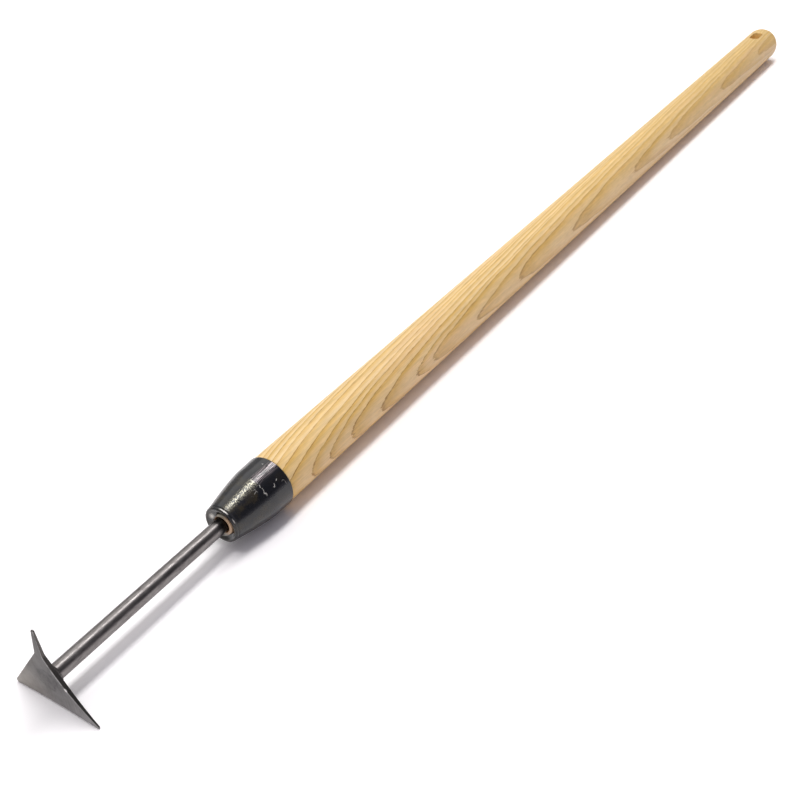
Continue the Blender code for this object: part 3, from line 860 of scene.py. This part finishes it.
bladeLook = {
    "wideReach": 33.1,
    "slimReach": 35.4,
    "baseDrop": 20.1,
    "hornRise": 37.6,
    "hornLean": 0.8,
    "hornWidth": 2.0,
    "neckRise": 18.5,
    "neckWide": 4.0,
    "neckSlim": 1.8,
    "baseHollow": 1.7,
    "slimHollow": 3.4,
    "rounds": (1.6, 4.0, 0.7, 0.7, 4.0, 1.0),
    "edgePoints": 420,
    "edgeThickness": 1.3,
    "thinFrom": 9.5,
    "thinTo": 37.0,
    "edgeRound": 0.28,
    "groundEdge": (0.95, 0.10),  # width and depth of the ground line along the front edge, mm
    "ringShares": (0.12, 0.24, 0.36, 0.48, 0.6, 0.7, 0.8, 0.88, 0.94, 0.98),
    "uneven": (0.03, 0.05, 0.12),  # least and further depth of the dents in mm, and how close they lie
    "steel": (0.200, 0.192, 0.190),
    "steelDark": (0.125, 0.117, 0.116),
    "roughness": (0.34, 0.46),
    "drawWaves": (300, 900, 120),
    "steelWarm": (0.225, 0.205, 0.180),
    "warmSide": (-4.0, 20.0, 0.0, 0.8),  # span across the plate, mm from the axis
    "heatSteel": (0.068, 0.064, 0.064),
    "heatRadius": 6.5,
    "heatWander": (260.0, 3.0, 10.0),  # waves a metre, detail, mm
    "heatRing": (0.0, 2.6, 0.95, 0.0),  # span of mm to either side of the mark's radius
    "heatCore": (0.0, 14.0, 0.80, 0.0),  # span of mm from the axis
    "heatBlotches": ((420.0, 3.0), (0.38, 0.62, 0.45, 1.0)),
    # Painted reflection: the plate's colour is lightened and darkened by height and by side
    "paintedReflectionHeights": (-18.0, 5.0),  # mm from the axis
    "paintedReflectionWander": (90.0, 2.0, 10.0),
    "lowerPaintedReflection": 1.33,  # painted reflection: the plate is lighter towards its base and its slim point than at the horn
    "upperPaintedReflection": 0.52,
    "paintedReflectionSides": (-20.0, 20.0),
    "slimPaintedReflection": 1.09,
    "widePaintedReflection": 0.84,
    "cutSteel": (0.095, 0.088, 0.082),
    "cutSides": (0.35, 0.85, 1.0, 0.0),  # span of how squarely the metal faces forward or back
    "edgeSteel": (0.31, 0.30, 0.295),
    # Spans of how squarely the worn edge faces forward, and of how far it faces the slim side
    "edgeFrom": (0.45, 0.70, 0.0, 1.0),
    "edgeTo": (0.988, 0.997, 1.0, 0.0),
    "edgeSide": (-0.07, -0.03, 1.0, 0.0),
    "edgeBreaks": ((700.0, 2.0), (0.35, 0.55, 0.35, 1.0)),
    "edgeChip": ((0.1, -13.5, -0.5), (0.0, -0.66, -0.75), 1.4, 0.7),  # centre, direction, reach, width, mm
    "chipFade": (0.7, 1.1, 1.0, 0.0),
    "chipSteel": (0.75, 0.73, 0.70),
}


def hollowSide(start, end, depth, steps=21):
    start, end = Vector(start), Vector(end)
    way = end - start
    left = Vector((-way.y, way.x)).normalized()
    # An eighth at each end stays straight for the round corners
    spots = [1 / 8 + 6 / 8 * i / steps for i in range(steps + 1)]
    return [tuple(start + way * s + left * (4 * depth * s * (1 - s))) for s in spots]


def roundedCorner(before, here, after, radius, steps=14):
    here = Vector(here)
    back = (Vector(before) - here).normalized()
    onward = (Vector(after) - here).normalized()
    half = back.angle(onward) / 2
    centre = here + (back + onward).normalized() * (radius / sin(half))
    first = here + back * (radius / tan(half)) - centre
    last = here + onward * (radius / tan(half)) - centre
    turn = first.angle(last)
    made = []
    for k in range(steps + 1):
        s = k / steps
        spoke = (first * sin((1 - s) * turn) + last * sin(s * turn)) / sin(turn)
        made.append(tuple(centre + spoke))
    return made


def bladeOutline(look):
    wide = (look["wideReach"], -look["baseDrop"])
    slim = (-look["slimReach"], -look["baseDrop"])
    neckWide = (look["neckWide"], look["neckRise"])
    neckSlim = (-look["neckSlim"], look["neckRise"])
    hornWide = (look["hornWidth"] / 2 - look["hornLean"], look["hornRise"])
    hornSlim = (-look["hornWidth"] / 2 - look["hornLean"], look["hornRise"])
    corners = [wide, neckWide, hornWide, hornSlim, neckSlim, slim]
    slimSide = hollowSide(neckSlim, slim, look["slimHollow"])
    base = hollowSide(slim, wide, look["baseHollow"])
    sides = [[], [], [], [], slimSide, base]
    outline = []
    for i, here in enumerate(corners):
        before = (sides[i - 1] or [corners[i - 1]])[-1]
        after = (sides[i] or [corners[(i + 1) % len(corners)]])[0]
        outline += roundedCorner(before, here, after, look["rounds"][i]) + sides[i]
    return outline


def spreadOut(outline, count):
    loop = [Vector(p) for p in outline] + [Vector(outline[0])]
    lengths = [0.0]
    for a, b in zip(loop, loop[1:]):
        lengths.append(lengths[-1] + (b - a).length)
    made = []
    k = 0
    for i in range(count):
        goal = lengths[-1] * i / count
        while lengths[k + 1] < goal:
            k += 1
        s = (goal - lengths[k]) / (lengths[k + 1] - lengths[k])
        made.append(loop[k].lerp(loop[k + 1], s))
    return made


def bladeMaterial(look):
    made, tree, shader, place, colour = steelMaterial("blade_finished", look)
    across, upward = toolAxes(tree, place)[1:]
    colour = blendColours(tree, remap(tree, across, *look["warmSide"]), colour, look["steelWarm"])

    # Heat mark of the weld, an uneven dark oval in the middle of the plate
    far = lengthOf(tree, across, upward)
    fromRing = distance(tree, ragged(tree, place, far, *look["heatWander"]), look["heatRadius"])
    core = remap(tree, far, *look["heatCore"])
    heat = calc(tree, "MAXIMUM", remap(tree, fromRing, *look["heatRing"]), core)
    heat = product(tree, heat, mask(tree, place, *look["heatBlotches"]))
    colour = blendColours(tree, heat, colour, look["heatSteel"])
    # Painted reflection: lighter towards the base and the slim point, darker towards the horn
    drift = ragged(tree, place, upward, *look["paintedReflectionWander"])
    tone = remap(tree, drift, *look["paintedReflectionHeights"], look["lowerPaintedReflection"], look["upperPaintedReflection"])
    sidePaintedReflection = remap(tree, across, *look["paintedReflectionSides"], look["slimPaintedReflection"], look["widePaintedReflection"])
    colour = shaded(tree, colour, product(tree, tone, sidePaintedReflection))

    # Cut sides are dark; the front edge towards the slim point is worn to a thin bright line
    normal = addNode(tree, "ShaderNodeTexCoord").outputs["Normal"]
    facing = addNode(tree, "ShaderNodeSeparateXYZ", {0: normal}).outputs
    flatness = calc(tree, "ABSOLUTE", facing["X"])
    colour = blendColours(tree, remap(tree, flatness, *look["cutSides"]), colour, look["cutSteel"])
    front = calc(tree, "MULTIPLY", facing["X"], -1.0)
    edge = product(tree, remap(tree, front, *look["edgeFrom"]), remap(tree, front, *look["edgeTo"]),
                   remap(tree, facing["Y"], *look["edgeSide"]), mask(tree, place, *look["edgeBreaks"]))
    colour = blendColours(tree, edge, colour, look["edgeSteel"])
    chip = remap(tree, nearSpot(tree, place, *look["edgeChip"]), *look["chipFade"])
    colour = blendColours(tree, chip, colour, look["chipSteel"])
    tree.links.new(colour, shader.inputs["Base Color"])
    return made


def buildBlade(look):
    outline = spreadOut(bladeOutline(look), look["edgePoints"])
    count = len(outline)
    slope = (plateThickness - look["edgeThickness"]) / (look["thinTo"] - look["thinFrom"])
    soft = look["edgeRound"]
    skin, dents, dentScale = look["uneven"]
    leftmost, rightmost = bladeLow.y / mm, bladeHigh.y / mm
    lowest, highest = (bladeLow.z - axisHeight) / mm, (bladeHigh.z - axisHeight) / mm
    inward = []
    for i in range(count):
        way = outline[(i + 1) % count] - outline[i - 1]
        inward.append(Vector((way.y, -way.x)).normalized())
    if (outline[0] + inward[0]).length > outline[0].length:
        inward = [-v for v in inward]

    def ring(share, inset, lift, back):
        made = []
        for p, n in zip(outline, inward):
            q = (p + n * inset) * share
            dent = abs(noise.noise(Vector((q.x * dentScale, q.y * dentScale, 5.0 if back else 1.0))))
            depth = lift + skin + dents * dent
            thickness = plateThickness - slope * max(0.0, q.length - look["thinFrom"])
            across = min(max(q.x, leftmost), rightmost)
            upward = min(max(q.y, lowest), highest)
            made.append((thickness - depth if back else depth, across, upward))
        return made

    shares = look["ringShares"]
    turns = [radians(22.5 * i) for i in range(5)]
    groundWidth, groundDepth = look["groundEdge"]
    rings = [[(skin, 0.0, 0.0)]]
    rings += [ring(s, soft, 0.0, False) for s in shares[:-1]]
    rings.append(ring(1, groundWidth, 0.0, False))
    rings += [ring(1, soft * (1 - sin(t)), groundDepth + soft * (1 - cos(t)), False) for t in turns]
    rings += [ring(1, soft * (1 - sin(t)), soft * (1 - cos(t)), True) for t in reversed(turns)]
    rings += [ring(s, soft, 0.0, True) for s in reversed(shares)]
    rings.append([(plateThickness - skin, 0.0, 0.0)])
    points, faces = skinRings(rings)
    blade = meshObject("scraperBlade", points, turnedOver(faces), bladeMaterial(look))
    finishPiece(blade, "blade", 50)


# Floor, light and camera

studio = {
    "floorSize": 12.0,
    "floor": (0.85, 0.79, 0.81),
    "floorShown": (0.31, 0.35, 0.33),  # added where the camera, metal or gloss sees the floor: white
    "key": {"size": (2.9, 0.5), "place": (0.25, 0.12, 2.2), "power": 37.0},
    "side": {"size": (2.6, 1.5), "place": (0.45, 1.30, 1.75), "power": 12.0},
    "nearSky": (0.99, 0.95, 1.08),  # the -Y side of the room
    "farSky": (1.0, 0.98, 0.97),
    "sidesMeet": (-0.35, 0.35, 0.0, 1.0),
    "nearLevel": 0.45,
    "farLevel": 0.48,
    "shadedSide": (0.48, -0.74, 0.46),  # the dark side of the studio, where the photographer stands
    "shadedLevel": 0.08,
    "shadedSpread": (0.72, 0.94, 0.0, 1.0),
    "shadedRise": (0.02, 0.18, 0.0, 1.0),  # it starts above the horizon
}

cameraLook = {
    "place": (-0.77903, -0.40123, 0.47922),
    "heading": 54.18,  # degrees from +Y towards +X
    "pitch": -35.44,
    "roll": -4.02,
    "lens": 51.157,
    "sensor": 36.0,
    "nearest": 0.01,  # m from the lens where the view starts
}


def floorMaterial(look):
    made = bpy.data.materials.new("studio_floor")
    made.use_nodes = True
    tree = made.node_tree
    tree.nodes.clear()
    plain = addNode(tree, "ShaderNodeBsdfDiffuse", {"Color": (*look["floor"], 1.0)})
    extra = addNode(tree, "ShaderNodeBsdfDiffuse", {"Color": (*look["floorShown"], 1.0)})
    both = addNode(tree, "ShaderNodeAddShader", {0: plain.outputs[0], 1: extra.outputs[0]})
    rays = addNode(tree, "ShaderNodeLightPath").outputs
    seen = calc(tree, "MAXIMUM", rays["Is Camera Ray"], rays["Is Glossy Ray"])
    seen = calc(tree, "MAXIMUM", seen, rays["Is Transmission Ray"])
    mix = addNode(tree, "ShaderNodeMixShader", {0: seen, 1: plain.outputs[0], 2: both.outputs[0]})
    addNode(tree, "ShaderNodeOutputMaterial", {"Surface": mix.outputs[0]})
    return made


def addFloor(look):
    mesh = bpy.data.meshes.new("studioFloor")
    half = look["floorSize"] / 2
    # The tool lies on the blade's base and the butt, so the floor rises slightly towards the butt
    lean = handleLow.z / (toolLength * mm)
    ends = ((-half, -half), (half, -half), (half, half), (-half, half))
    mesh.from_pydata([(x, y, (x - faceX) * lean) for x, y in ends], [], [(0, 1, 2, 3)])
    mesh.materials.append(floorMaterial(look))
    floor = bpy.data.objects.new("studioFloor", mesh)
    bpy.context.scene.collection.objects.link(floor)


def addSoftbox(name, look):
    light = bpy.data.lights.new(name, "AREA")
    light.shape = "RECTANGLE"
    light.size, light.size_y = look["size"]
    light.energy = look["power"]
    lamp = bpy.data.objects.new(name, light)
    lamp.location = look["place"]
    across = Vector((0.0, look["place"][1], look["place"][2])).normalized()  # it faces the tool's axis
    lamp.rotation_euler = (-across).to_track_quat("-Z", "Y").to_euler()
    bpy.context.scene.collection.objects.link(lamp)


def addSky(look):
    world = bpy.data.worlds.new("studio")
    world.use_nodes = True
    bpy.context.scene.world = world
    tree = world.node_tree
    sky = tree.nodes["Background"]
    way = addNode(tree, "ShaderNodeTexCoord").outputs["Generated"]
    parts = addNode(tree, "ShaderNodeSeparateXYZ", {0: way}).outputs
    farShare = remap(tree, parts["Y"], *look["sidesMeet"])
    tree.links.new(blendColours(tree, farShare, look["nearSky"], look["farSky"]), sky.inputs["Color"])
    towards = Vector(look["shadedSide"]).normalized()
    dark = remap(tree, vectorCalc(tree, "DOT_PRODUCT", "Value", way, towards), *look["shadedSpread"])
    dark = product(tree, dark, remap(tree, parts["Z"], *look["shadedRise"]))
    level = remap(tree, farShare, 0.0, 1.0, look["nearLevel"], look["farLevel"])
    tree.links.new(remap(tree, dark, 0.0, 1.0, level, look["shadedLevel"]), sky.inputs["Strength"])


def buildCamera(look):
    lens = bpy.data.cameras.new("photoCamera")
    lens.lens = look["lens"]
    lens.sensor_width = look["sensor"]
    lens.sensor_fit = "AUTO"
    lens.clip_start = look["nearest"]
    camera = bpy.data.objects.new("photoCamera", lens)
    heading = Matrix.Rotation(radians(-look["heading"]), 4, "Z")
    pitch = Matrix.Rotation(radians(90 + look["pitch"]), 4, "X")
    roll = Matrix.Rotation(radians(look["roll"]), 4, "Z")
    camera.matrix_world = Matrix.Translation(look["place"]) @ heading @ pitch @ roll
    bpy.context.scene.collection.objects.link(camera)
    bpy.context.scene.camera = camera


addFloor(studio)
addSoftbox("keySoftbox", studio["key"])
addSoftbox("sideSoftbox", studio["side"])
addSky(studio)
buildCamera(cameraLook)
print("studio and camera set")
buildBlade(bladeLook)
buildWeld(weldLook)
buildRod(rodLook)
print("blade, weld and rod made")
buildFerrule(ferruleLook)
print("ferrule made")
buildHandle(handleLook, ferruleLook)

bpy.context.scene.view_settings.view_transform = "Standard"
